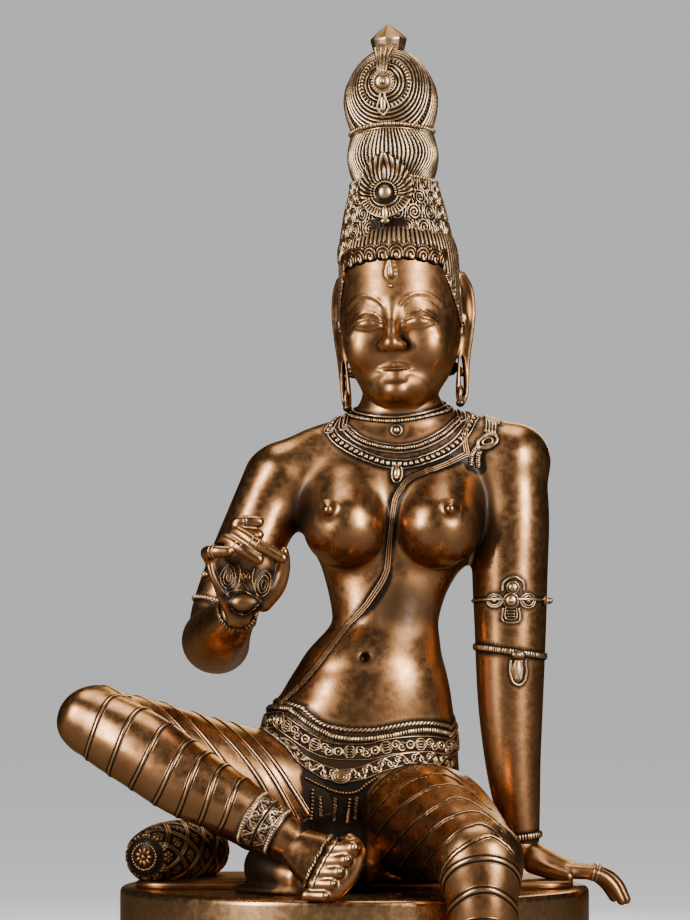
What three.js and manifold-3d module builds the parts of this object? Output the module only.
// A seated figure of Parvati, cast in brass, on a drum plinth with a footrest.
// Millimetres, +Z up. The origin is the centre of the plinth's underside. The figure faces -Y, its left hand is at +X.
import * as THREE from "three";
import { mergeVertices } from "three/addons/utils/BufferGeometryUtils.js";
import Module from "manifold-3d";

const wasm = await Module();
wasm.setup();

// Driving sizes
const FIGURE_HEIGHT = 551; // from the drum's top to the tip of the crown
const DRUM_RADIUS = 149;
const DRUM_HEIGHT = 180;
const DRUM_ROUND = 3.5; // rounding of the drum's top edge
const BASE_HEIGHT = 18; // the low base under the drum and the footrest
const BASE_LEDGE = 14; // how far the base stands out past the drum
const FOOTREST_MARGIN = 13; // of the footrest around the foot
const FOOTREST_RISE = 6; // the footrest's pad above the base
const SEAT_THICKNESS = 4.5; // the thin plate that is cast under the figure
const SEAT_MARGIN = 11; // from the plate's sides in to the drum's edge
const SEATING_GAP = 0.3; // between the figure and the plinth

// The crown's tiers, ball and finial, as radius and level above the drum. The last level is the figure's whole height
// in its own measure, and every one of the figure's numbers below is in that measure
const CROWN_PROFILE = [
  [0, 388], [38.6, 388], [41, 402], [38, 424], [30.6, 447], [27.6, 454], [30.4, 464], [26.4, 480], [28.6, 484],
  [26.6, 488], [30.4, 505], [28.8, 517], [23.5, 526], [9.6, 535], [8.6, 539], [11.4, 543], [5, 549], [0, 551],
];
const scale = FIGURE_HEIGHT / CROWN_PROFILE.at(-1)[1];
const rim = DRUM_RADIUS / scale; // the drum's edge
const sole = (FOOTREST_RISE - DRUM_HEIGHT) / scale; // the footrest's level, below the drum's top

const seatLevel = BASE_HEIGHT + DRUM_HEIGHT;
const figureBrass = new THREE.MeshStandardMaterial({ color: 0x7a4a20, metalness: 0.95, roughness: 0.36 });
const plinthBrass = new THREE.MeshStandardMaterial({ color: 0x6b3d1a, metalness: 0.95, roughness: 0.34 });

// Turns a closed geometry into a solid for joining and cutting, facing outwards.
function toSolid(geometry) {
  const bare = geometry.clone();
  bare.deleteAttribute("normal");
  bare.deleteAttribute("uv");
  const merged = mergeVertices(bare, 1e-4);
  const make = (triVerts) =>
    new wasm.Manifold(
      new wasm.Mesh({ numProp: 3, vertProperties: merged.attributes.position.array, triVerts }),
    );
  const faces = new Uint32Array(merged.index.array);
  const solid = make(faces);
  return solid.volume() >= 0 ? solid : make(faces.slice().reverse());
}

function toGeometry(solid) {
  const mesh = solid.getMesh();
  const geometry = new THREE.BufferGeometry();
  geometry.setAttribute("position", new THREE.BufferAttribute(mesh.vertProperties, 3));
  geometry.setIndex(new THREE.BufferAttribute(mesh.triVerts, 1));
  return geometry;
}

const join = (solids) => solids.reduce((whole, next) => whole.add(next));

// Turns a solid about X, then Y, then Z, in degrees, scales it about the origin and shifts it.
function placed(solid, { turn = [0, 0, 0], shift = [0, 0, 0], size = 1 }) {
  const [x, y, z] = turn.map(THREE.MathUtils.degToRad);
  const matrix = new THREE.Matrix4().compose(
    new THREE.Vector3(...shift),
    new THREE.Quaternion().setFromEuler(new THREE.Euler(x, y, z, "ZYX")),
    new THREE.Vector3(size, size, size),
  );
  return toSolid(toGeometry(solid).applyMatrix4(matrix));
}

// A rounded limb along a smooth path. Each station is [x, y, z, halfWidth, halfDepth], and the width runs along side.
// Bangles are [share of the path, half length, height]. Pleats are raised folds of cloth: { from, to, count, height }.
// Dip says how far the rows sag at the front at a share of the path, as a girdle's do.
function limb(
  stations,
  { sides = 10, rings = 5, side = [1, 0, 0], bangles = [], pleats = null, blunt = 0.7, domed = true, dip = null } = {},
) {
  const path = new THREE.CatmullRomCurve3(
    stations.map(([x, y, z]) => new THREE.Vector3(x, y, z)),
    false,
    "centripetal",
  );
  const last = stations.length - 1;
  const sizeAt = (share, column) => {
    const place = THREE.MathUtils.clamp(share, 0, 1) * last;
    const low = Math.min(Math.floor(place), last - 1);
    return THREE.MathUtils.lerp(stations[low][column], stations[low + 1][column], place - low);
  };
  const near = (share, middle, half) => Math.abs(share - middle) < half * 1.2;
  const covered = (share) =>
    (pleats && near(share, (pleats.from + pleats.to) / 2, (pleats.to - pleats.from) / 2)) ||
    bangles.some(([middle, half]) => near(share, middle, half));
  const rows = Array.from({ length: rings + 1 }, (_, i) => ({ share: i / rings, grow: 0 }));
  const body = rows.filter(({ share }) => !covered(share));
  for (let i = 0; pleats && i <= 2 * pleats.count; i++)
    body.push({
      share: THREE.MathUtils.lerp(pleats.from, pleats.to, i / (2 * pleats.count)),
      grow: (i % 2) * pleats.height,
    });
  for (const [share, half, height] of bangles)
    for (const way of [-1, 0, 1])
      body.push({ share: share + way * half, grow: way ? 0 : height });
  body.sort((a, b) => a.share - b.share);
  const end = (share, way) => {
    const tip = { share, grow: 0, reach: way, shrink: 0 };
    return domed ? [tip, { share, grow: 0, reach: way * 0.72, shrink: 0.7 }] : [tip];
  };
  const levels = [...end(0, -1), ...body, ...end(1, 1).reverse()];

  const geometry = new THREE.SphereGeometry(1, sides, levels.length - 1);
  const places = geometry.attributes.position;
  const reference = new THREE.Vector3(...side);
  levels.forEach(({ share, grow, reach = 0, shrink = 1 }, row) => {
    const centre = path.getPoint(share);
    const along = path.getTangent(share);
    const across = reference.clone().addScaledVector(along, -reference.dot(along)).normalize();
    const deep = new THREE.Vector3().crossVectors(along, across);
    const width = sizeAt(share, 3) + grow;
    const depth = sizeAt(share, 4) + grow;
    centre.addScaledVector(along, reach * blunt * Math.min(width, depth));
    for (let column = 0; column <= sides; column++) {
      const angle = (2 * Math.PI * (column % sides)) / sides;
      const point = centre
        .clone()
        .addScaledVector(across, Math.cos(angle) * width * shrink)
        .addScaledVector(deep, Math.sin(angle) * depth * shrink);
      if (dip) point.z -= dip(share) * shrink * Math.max(0, -Math.sin(angle) * Math.sign(deep.y)) ** 2;
      places.setXYZ(row * (sides + 1) + column, point.x, point.y, point.z);
    }
  });
  return toSolid(geometry);
}

// A finger or toe: a limb with few faces.
const digit = (joints, side = [0, 1, 0], rings = 3) =>
  limb(joints, { sides: 6, rings, side, blunt: 0.9, domed: false });

function ball([x, y, z], [a, b, c], sides = 8, rings = 5) {
  const geometry = new THREE.SphereGeometry(1, sides, rings);
  geometry.rotateX(Math.PI / 2);
  geometry.scale(a, b, c);
  geometry.translate(x, y, z);
  return toSolid(geometry);
}

// A turned piece standing on +Z, from [radius, height] pairs that start and end on the axis.
function turned(profile, sides) {
  const geometry = new THREE.LatheGeometry(
    profile.map(([radius, height]) => new THREE.Vector2(radius, height)),
    sides,
  );
  geometry.rotateX(Math.PI / 2);
  return toSolid(geometry);
}

// A cord or band along a path of points. It is closed on itself where it goes right round.
function band(points, halfWidth, halfThickness, { closed = false, steps = 14, corners = 4, outward = null } = {}) {
  const path = new THREE.CatmullRomCurve3(
    points.map((point) => new THREE.Vector3(...point)),
    closed,
    "centripetal",
  );
  const geometry = closed
    ? new THREE.TorusGeometry(2, 1, corners, steps)
    : new THREE.SphereGeometry(1, corners, steps + 2);
  const place = (index, share, corner, shrink) => {
    const centre = path.getPoint(share);
    const along = path.getTangent(share);
    const out = outward ? outward(centre) : new THREE.Vector3(0, -1, 0);
    out.addScaledVector(along, -out.dot(along)).normalize();
    const wide = new THREE.Vector3().crossVectors(along, out);
    const angle = (2 * Math.PI * corner) / corners;
    centre.addScaledVector(out, Math.cos(angle) * halfThickness * shrink);
    centre.addScaledVector(wide, Math.sin(angle) * halfWidth * shrink);
    geometry.attributes.position.setXYZ(index, centre.x, centre.y, centre.z);
  };
  const columns = closed ? steps : corners;
  const rows = closed ? corners : steps + 2;
  for (let row = 0; row <= rows; row++)
    for (let column = 0; column <= columns; column++) {
      const index = row * (columns + 1) + column;
      if (closed) place(index, (column % steps) / steps, row % corners, 1);
      else place(index, THREE.MathUtils.clamp((row - 1) / steps, 0, 1), column % corners, row % rows ? 1 : 0);
    }
  return toSolid(geometry);
}

// Torso: rising from the seat, and swaying to the figure's left at the waist
const TORSO = [
  [4, 6, 8, 58, 44],
  [2, 4, 48, 65, 48],
  [2.5, 0, 88, 61.5, 41],
  [4, -3, 116, 55, 35],
  [13, -4, 140, 41, 30],
  [22, -1, 164, 33, 24.5],
  [25, 2, 188, 40, 26],
  [24.5, 4, 212, 53, 29],
  [26, 5, 240, 59, 31],
  [28, 6, 266, 57, 28],
  [29, 7, 286, 38, 23],
  [29.5, 6, 302, 26, 23],
  [29.5, 4, 326, 25.5, 24],
];
const SHOULDERS = [
  [-42, 5, 262, 20, 19], [-18, 6, 273, 21, 20], [29, 7, 280, 25, 21], [76, 6, 279, 21, 20], [98, 5, 269, 21, 20],
];

// Girdle and choker, as [level, half width]. They sag at the front
const GIRDLE_BANDS = [[108, 5], [95, 5], [81, 4.5]];
const GIRDLE_DIP = 19;
const CHOKER_LEVEL = 303;
const CHOKER_HALF = 3.5;
const CHOKER_DIP = 7;
const BAND_HEIGHT = 2.6;

// The share of the torso's path that lies at a level.
function torsoShare(level) {
  const next = TORSO.findIndex(([, , z]) => z > level);
  const [low, high] = [TORSO[next - 1][2], TORSO[next][2]];
  return (next - 1 + (level - low) / (high - low)) / (TORSO.length - 1);
}

function sag(share) {
  const rise = (from, to) => THREE.MathUtils.smoothstep(share, torsoShare(from), torsoShare(to));
  return GIRDLE_DIP * rise(20, 70) * (1 - rise(112, 150)) + CHOKER_DIP * rise(286, 300);
}

function torso() {
  const spread = torsoShare(100) - torsoShare(99);
  const girdle = GIRDLE_BANDS.map(([level, half]) => [torsoShare(level), half * spread, BAND_HEIGHT]);
  const choker = [torsoShare(CHOKER_LEVEL), CHOKER_HALF * (torsoShare(304) - torsoShare(303)), BAND_HEIGHT];
  const breast = (x, z, tip) => [
    ball([x, -20, z], [27.5, 28, 27], 10, 7),
    ball([tip, -44, z + 10], [4, 5, 4], 5, 3),
  ];
  return join([
    limb(TORSO, { sides: 14, rings: 12, bangles: [...girdle, choker], dip: sag }),
    limb(SHOULDERS, { sides: 8, rings: 4, side: [0, 0, 1] }),
    ...breast(-5.5, 230.5, -16.5),
    ...breast(53, 231, 60),
  ]);
}

// Head: made about a point between the ears, facing -Y, then turned a little to the figure's right
const HEAD_CENTRE = [30, 2, 352];
const HEAD_TURN = -9; // degrees
const HEAD_LEAN = -2.1; // degrees, towards the figure's right
const FACE_LENGTH = 92; // from the hairline to the chin, shared out in thirds

function head() {
  const third = FACE_LENGTH / 3;
  const hairline = 47;
  const brow = hairline - third;
  const noseBase = brow - third;
  const chin = noseBase - third;
  const skull = limb(
    [
      [0, -22, chin + 7, 16, 15], [0, -13, chin + 17, 27, 26], [0, -4, chin + 32, 35, 37], [0, 0, brow - 10, 38, 41],
      [0, 0, hairline, 38, 40.5],
    ],
    { sides: 14, rings: 6, blunt: 0.4 },
  );
  const nose = digit([[0, -41, brow - 3, 3, 3], [0, -44, brow - 15, 4, 4], [0, -45, noseBase + 5, 6.5, 5]]);
  const lip = (below, width) => ball([0, -36.5, noseBase - below], [width, 6, 2.6], 6, 4);
  const lids = [-1, 1].map((way) => ball([way * 16, -34, brow - 9], [9.5, 5.5, 5], 6, 4));
  const brows = [-1, 1].map((way) =>
    band([[way * 4, -42, brow - 1], [way * 15, -39.5, brow + 4], [way * 29, -29.5, brow - 3]], 1.5, 2, { steps: 4 }),
  );
  const ears = [-1, 1].map((way) =>
    limb(
      [
        [way * 38, 8, 28, 3.5, 8], [way * 41.5, 9, 10, 3.4, 9], [way * 42, 6, -14, 2.8, 6.5],
        [way * 40, 2, -44, 3.6, 5.5],
      ],
      { sides: 6, rings: 3, domed: false },
    ),
  );
  const jaw = ball([0, -34, chin + 8], [9, 7, 7], 6, 4);
  return placed(join([skull, nose, jaw, lip(9, 11), lip(13.4, 8.5), ...lids, ...brows, ...ears]), { turn: [0, HEAD_LEAN, HEAD_TURN], shift: HEAD_CENTRE });
}

// Crown: a cap of hair, two bound tiers and a ball with its finial
const CROWN_FOOT = 392;
const CROWN_CENTRE = [HEAD_CENTRE[0] - 1.5, HEAD_CENTRE[1], CROWN_FOOT];
const HAIR_EDGE = [
  [-38, -3, -30], [-37, -16, -8], [-27, -31, 6], [0, -41, 11], [27, -31, 6], [37, -16, -8], [38, -3, -30],
];

function crown() {
  const tiers = turned(
    CROWN_PROFILE.map(([radius, height]) => [radius, height - CROWN_FOOT]),
    16,
  );
  const medallion = (height, out, radius) => {
    const disc = turned([[0, -3], [radius, -3], [radius, 1.5], [radius * 0.35, 2.6], [0, 2.6]], 8);
    return placed(disc, { turn: [90, 0, 0], shift: [0, -out, height - CROWN_FOOT] });
  };
  const plume = limb([[0, -33, 42, 9, 3], [0, -32, 54, 13, 3], [0, -29, 66, 10, 3], [0, -28, 78, 3, 2.5]], {
    sides: 6,
    rings: 3,
    domed: false,
  });
  const outward = (at) => new THREE.Vector3(at.x, at.y, 0).normalize();
  const hairEdge = band(HAIR_EDGE, 8, 4, { steps: 8, corners: 4, outward });
  return placed(join([tiers, hairEdge, plume, medallion(443, 33.5, 7.5), medallion(509, 29.5, 5.5)]), {
    turn: [0, HEAD_LEAN, HEAD_TURN],
    shift: CROWN_CENTRE,
  });
}

// The left arm is propped at the drum's edge, so it slopes from the shoulder to a wrist that stays inside the edge.
// Its stations are [off that slope, y, z, halfWidth, halfDepth], and the hand's are [inside the edge, y, z, ...]
const SHOULDER_OUT = 101;
const SHOULDER_LEVEL = 270;
const WRIST_LEVEL = 20;
const WRIST_INSET = 42;
const LEFT_ARM = [
  [0, 5, 270, 21.5, 21], [-0.8, 4, 235, 23.6, 23], [-3.2, 4, 201, 24.2, 23], [-4, 3, 165, 23, 22],
  [-5.1, 3, 118, 21, 20], [-4.6, 3, 80, 18, 17.5], [-2.7, 3, 52, 15, 15], [0, 3, 27, 11.3, 11.5],
];
const LEFT_PALM = [[41, 3, 22, 12, 10], [27, 1, 15, 15.5, 8], [10, 0, 9.5, 16.5, 6.5]];
const LEFT_THUMB = [[34, -9, 14, 6, 6], [25, -17, 9.5, 5, 5], [14, -21, 6.5, 4.2, 4.2]];

function leftArm() {
  const sloping = ([off, y, z, a, b]) => {
    const share = (SHOULDER_LEVEL - z) / (SHOULDER_LEVEL - WRIST_LEVEL);
    return [THREE.MathUtils.lerp(SHOULDER_OUT, rim - WRIST_INSET, share) + off, y, z, a, b];
  };
  const inside = ([inset, ...rest]) => [rim - inset, ...rest];
  const arm = limb(LEFT_ARM.map(sloping), {
    rings: 6,
    bangles: [[0.42, 0.02, 2.2], [0.565, 0.018, 2.2], [0.97, 0.02, 2]],
  });
  const palm = limb(LEFT_PALM.map(inside), { sides: 8, rings: 2, side: [0, 1, 0] });
  const fingers = [-12.5, -4.2, 4.2, 12.3].map((y, i) => {
    const reach = [0, 3.5, 3, -3][i];
    const joints = [
      [11, y, 9, 4.8, 4.8], [-4 - reach, y * 1.12, 7.2, 4.6, 4.6], [-14 - reach, y * 1.2, 1, 4.2, 4.2],
      [-20 - reach, y * 1.25, -9, 3.3, 3.3],
    ];
    return digit(joints.map(inside));
  });
  return join([arm, palm, ...fingers, digit(LEFT_THUMB.map(inside))]);
}

// The right hand is held up, its fingertips meeting the thumb as if round a flower's stem
const RIGHT_UPPER_ARM = [
  [-50, 5, 259, 21, 21], [-60, 1, 232, 22, 22], [-73, -5, 201, 21.5, 21.5], [-84, -10, 172, 20, 20],
  [-89, -15, 153, 19, 19],
];
const RIGHT_FOREARM = [
  [-89, -15, 153, 19.5, 19], [-90, -34, 155, 22, 20.5], [-85, -66, 160, 20, 19], [-78, -96, 163, 15.5, 15],
  [-71, -117, 167, 12, 11.5],
];
const RIGHT_PALM = [[-70, -117, 167, 12, 9], [-67, -121, 180, 17, 8], [-66, -123, 195, 23, 7], [-67, -124, 208, 25, 6.5]];
// Ring, middle, small and first finger, and the thumb
const RIGHT_FINGERS = [
  [[-89, -124, 209], [-90, -136, 214], [-84, -146, 214], [-76, -151, 210]],
  [[-79, -124, 211], [-78, -138, 219], [-69, -148, 215], [-58, -152, 205]],
  [[-69, -124, 213], [-68, -137, 224], [-58, -147, 218], [-45, -151, 206]],
  [[-60, -123, 212], [-61, -128, 224], [-61, -136, 232], [-60, -144, 233]],
  [[-52, -122, 184], [-44, -125, 195], [-40, -132, 205], [-44, -141, 211]],
];

function rightArm() {
  const upper = limb(RIGHT_UPPER_ARM, { rings: 4, bangles: [[0.7, 0.05, 2.2]], blunt: 0.4, domed: false });
  const forearm = limb(RIGHT_FOREARM, { rings: 4, bangles: [[0.95, 0.03, 2]] });
  const palm = limb(RIGHT_PALM, { sides: 8, rings: 3 });
  const fingers = RIGHT_FINGERS.map((joints) =>
    digit(joints.map((joint, i) => [...joint, 4.8 - i * 0.4, 4.8 - i * 0.4]), [0.5, 0.2, 1]),
  );
  return join([upper, forearm, palm, ball([-66, -127, 176], [10, 7, 8], 6, 4), ...fingers]);
}

// Legs. Both reach out towards the drum's edge, and the left hangs past it down to the footrest
const FOLD = 1.1; // height of the raised folds of cloth
const KNEE_LEVEL = 26;
const FOOT_HALF_LENGTH = 38;
const FOOT_MIDDLE = 37; // past the drum's edge
const FOOT_ACROSS = 76; // to the figure's left of the drum's middle
const outTo = ([x, share, ...rest]) => [x, -share * rim, ...rest];
const past = ([x, beyond, ...rest]) => [x, -rim - beyond, ...rest];
const lowered = ([x, beyond, share, a, b]) => past([x, beyond, THREE.MathUtils.lerp(KNEE_LEVEL, sole, share), a, b]);
const onSole = ([x, beyond, above, a, b]) => past([x, beyond, sole + above, a, b]);

// [x, share of the way out to the edge, z, halfWidth, halfDepth]
const RIGHT_THIGH = [
  [-30, 0, 52, 42, 44], [-62, 0.09, 62, 36, 38], [-98, 0.23, 78, 31, 32], [-135, 0.38, 96, 26, 26],
  [-163, 0.5, 108, 20, 20],
];
const RIGHT_CALF = [
  [-168, 0.52, 110, 19, 19], [-150, 0.565, 99, 23, 23], [-128, 0.62, 86.5, 24.3, 24], [-102, 0.67, 69.5, 24.2, 23],
  [-76, 0.72, 56, 20.3, 19], [-54, 0.76, 43.5, 16.3, 15.5], [-36, 0.79, 33, 13.2, 13],
];
const LEFT_THIGH = [
  [35, 0, 46, 41, 38], [42, 0.255, 50, 40, 40], [53, 0.56, 45, 35, 35], [66, 0.87, 34, 28, 28],
  [74, 1.045, 26, 24, 24],
];
// [x, past the edge, z, ...]
const RIGHT_FOOT = [[-30, -46, 22, 13, 10], [-27, -31, 25, 16, 11], [-19, -15, 22, 17.5, 9.5], [-11, 1, 18.5, 18, 7.5]];
const RIGHT_ANKLET = [[-31, -29, 30, 16, 15], [-26.5, -26.5, 26.5, 17, 15.5]];
// [x, past the edge, share of the way down to the footrest, ...]
const LEFT_SHIN = [
  [75, 11, 0, 23.5, 23], [76, 14, 0.11, 21.5, 22], [76, 12, 0.24, 20.5, 21.5], [76, 10, 0.41, 21.5, 23],
  [75, 9, 0.58, 18.5, 19.5], [74, 10, 0.75, 13.5, 14.5], [74, 12, 0.88, 12, 13],
];
// [x, past the edge, above the footrest, ...]
const LEFT_FOOT = [
  [74, 3, 10.5, 13, 10.4], [74.5, 17, 13.5, 14, 13.3], [FOOT_ACROSS, FOOT_MIDDLE, 10.5, 16, 10.3],
  [78, 57, 7.7, 18, 7.5],
];

function rightLeg() {
  const across = [0, 1, 0];
  const soleUp = [0.38, 0.05, 0.92];
  const thigh = limb(RIGHT_THIGH.map(outTo), { rings: 4, side: across, pleats: { from: 0.34, to: 0.86, count: 3, height: FOLD } });
  const calf = limb(RIGHT_CALF.map(outTo), {
    rings: 6,
    side: across,
    pleats: { from: 0.06, to: 0.64, count: 5, height: FOLD },
    bangles: [[0.76, 0.06, 2]],
  });
  const foot = limb(RIGHT_FOOT.map(past), { sides: 8, rings: 3, side: soleUp });
  const anklet = limb(RIGHT_ANKLET.map(past), { sides: 8, rings: 1, side: soleUp, blunt: 0.3, domed: false });
  const toes = [4, 3.7, 3.6, 3.5, 3.3].map((size, i) => {
    const up = 15.5 - i * 7.7;
    const root = [-10 + up * 0.38, -1, 18 + up * 0.92, size, size];
    const tip = [-5 + up * 0.4, 12 - i * 0.6, 16 + up * 0.94, size * 0.85, size * 0.85];
    return digit([root, tip].map(past), soleUp, 1);
  });
  return join([thigh, calf, foot, anklet, ...toes]);
}

function leftLeg() {
  const thigh = limb(LEFT_THIGH.map(outTo), { rings: 4, pleats: { from: 0.3, to: 0.96, count: 4, height: FOLD } });
  const shin = limb(LEFT_SHIN.map(lowered), {
    rings: 6,
    pleats: { from: 0.06, to: 0.76, count: 5, height: FOLD },
    bangles: [[0.84, 0.05, 2], [0.97, 0.025, 2.4]],
  });
  const foot = limb(LEFT_FOOT.map(onSole), { sides: 8, rings: 3 });
  const toes = [4.2, 3.7, 3.6, 3.5, 3.3].map((size, i) => {
    const across = -13.5 + i * 7.4;
    const root = [78 + across, 55 - i, size, size, size];
    const tip = [79 + across * 1.08, 72 - i * 2.4, size * 0.85, size * 0.85, size * 0.85];
    return digit([root, tip].map(onSole), [1, 0, 0], 1);
  });
  return join([thigh, shin, foot, ...toes]);
}

// Cast with the figure: the seat plate, the pillow at its right knee, and the cloth between the legs
const PILLOW_LENGTH = 92;
const LAP_CLOTH = [[-8, 0.2, 28, 34, 26], [-6, 0.42, 20, 30, 17], [-5, 0.54, 13, 22, 11]];
const CALF_CLOTH = [[-74, 0.52, 24, 20, 22], [-50, 0.62, 18, 20, 18], [-34, 0.7, 13, 14, 13]];

function seat() {
  const half = (DRUM_RADIUS - SEAT_MARGIN) / scale;
  const [corner, back, front] = [26, 72, 48];
  const outline = new THREE.Shape();
  outline.moveTo(-half, -front + corner);
  outline.quadraticCurveTo(-half, -front, -half + corner, -front);
  outline.lineTo(half - corner, -front);
  outline.quadraticCurveTo(half, -front, half, -front + corner);
  outline.quadraticCurveTo(half * 0.92, back * 0.7, half * 0.62, back);
  outline.lineTo(-half * 0.62, back);
  outline.quadraticCurveTo(-half * 0.92, back * 0.7, -half, -front + corner);
  const plate = new THREE.ExtrudeGeometry(outline, {
    depth: SEAT_THICKNESS / scale,
    bevelEnabled: false,
    curveSegments: 4,
  });
  const lap = limb(LAP_CLOTH.map(outTo), { sides: 8, rings: 2 });
  const web = limb(CALF_CLOTH.map(outTo), { sides: 8, rings: 2, side: [0, 1, 0] });
  return join([toSolid(plate), pillow(), lap, web]);
}

function pillow() {
  const swell = [[0.06, 16], [0.25, 19.5], [0.5, 20.5], [0.75, 19.5], [0.94, 16]];
  const sides = swell.map(([share, radius]) => [radius, share * PILLOW_LENGTH]);
  const profile = [[0, -5], [5, -2], [11.5, 0], ...sides, [11.5, PILLOW_LENGTH], [0, PILLOW_LENGTH + 3]];
  return placed(turned(profile, 12), { turn: [-90, 0, -24], shift: [-131, -36, 20] });
}

const SACRED_CORD = [
  [72, -10, 293], [74, -20, 279], [56, -28, 265], [37, -32, 254], [26.5, -32, 235], [24, -32, 206], [21, -28, 190],
  [6, -28, 168], [-16, -29, 148], [-36, -27, 126], [-46, -23, 114],
];
const NECKLACE = [[-18, 0, 292], [2, -17, 280], [28, -23, 269], [57, -17, 281], [79, 0, 295]];

function ornament() {
  const chestward = (at) => new THREE.Vector3(at.x - 29, at.y - 20, 0).normalize();
  return join([
    band(SACRED_CORD, 3, 4, { steps: 10, corners: 3 }),
    band(NECKLACE, 3.2, 3.6, { steps: 7, outward: chestward }),
    limb([[88, -13, 286, 5, 5], [80, -18, 276, 4, 5], [75, -19, 262, 5, 5]], { sides: 5, rings: 2, domed: false }),
    ball([-1, -45, 63], [7, 8, 5.5], 6, 4),
    ball([97, -18.5, 185], [13, 5.5, 7.5], 6, 4),
    ball([100, -17, 137], [3.4, 5.5, 8], 5, 4),
  ]);
}

// The plinth: drum, low base and footrest, cast as one. Grown by the seating gap, it is what the figure is cut back by
function plinthSolid(gap = 0) {
  const baseRadius = DRUM_RADIUS + BASE_LEDGE + gap;
  const radius = DRUM_RADIUS + gap;
  const top = seatLevel + gap;
  const drum = [
    [0, -gap], [baseRadius, -gap], [baseRadius, BASE_HEIGHT - 5], [baseRadius - 3, BASE_HEIGHT + gap],
    [radius + 3, BASE_HEIGHT + gap], [radius, BASE_HEIGHT + 3 + gap], [radius, top - DRUM_ROUND],
    [radius - DRUM_ROUND * 0.3, top - DRUM_ROUND * 0.3], [radius - DRUM_ROUND, top], [0, top],
  ];
  const restRadius = FOOT_HALF_LENGTH * scale + FOOTREST_MARGIN + gap;
  const restTop = BASE_HEIGHT + FOOTREST_RISE + gap;
  const rest = [
    [0, -gap], [restRadius, -gap], [restRadius, BASE_HEIGHT - 5], [restRadius - 3, BASE_HEIGHT + 1],
    [restRadius - 4, restTop - 1.5], [restRadius - 6, restTop], [0, restTop],
  ];
  const footrest = placed(turned(rest, 24), { shift: [FOOT_ACROSS * scale, -DRUM_RADIUS - FOOT_MIDDLE * scale, 0] });
  return turned(drum, 36).add(footrest);
}

function figureSolid() {
  const cast = join([torso(), head(), crown(), leftArm(), rightArm(), rightLeg(), leftLeg(), seat(), ornament()]);
  return placed(cast, { size: scale, shift: [0, 0, seatLevel] }).subtract(plinthSolid(SEATING_GAP));
}

const statue = new THREE.Group();
const figure = new THREE.Mesh(toGeometry(figureSolid()), figureBrass);
figure.name = "figure";
const plinth = new THREE.Mesh(toGeometry(plinthSolid()), plinthBrass);
plinth.name = "plinth";
statue.add(figure, plinth);

export default statue;
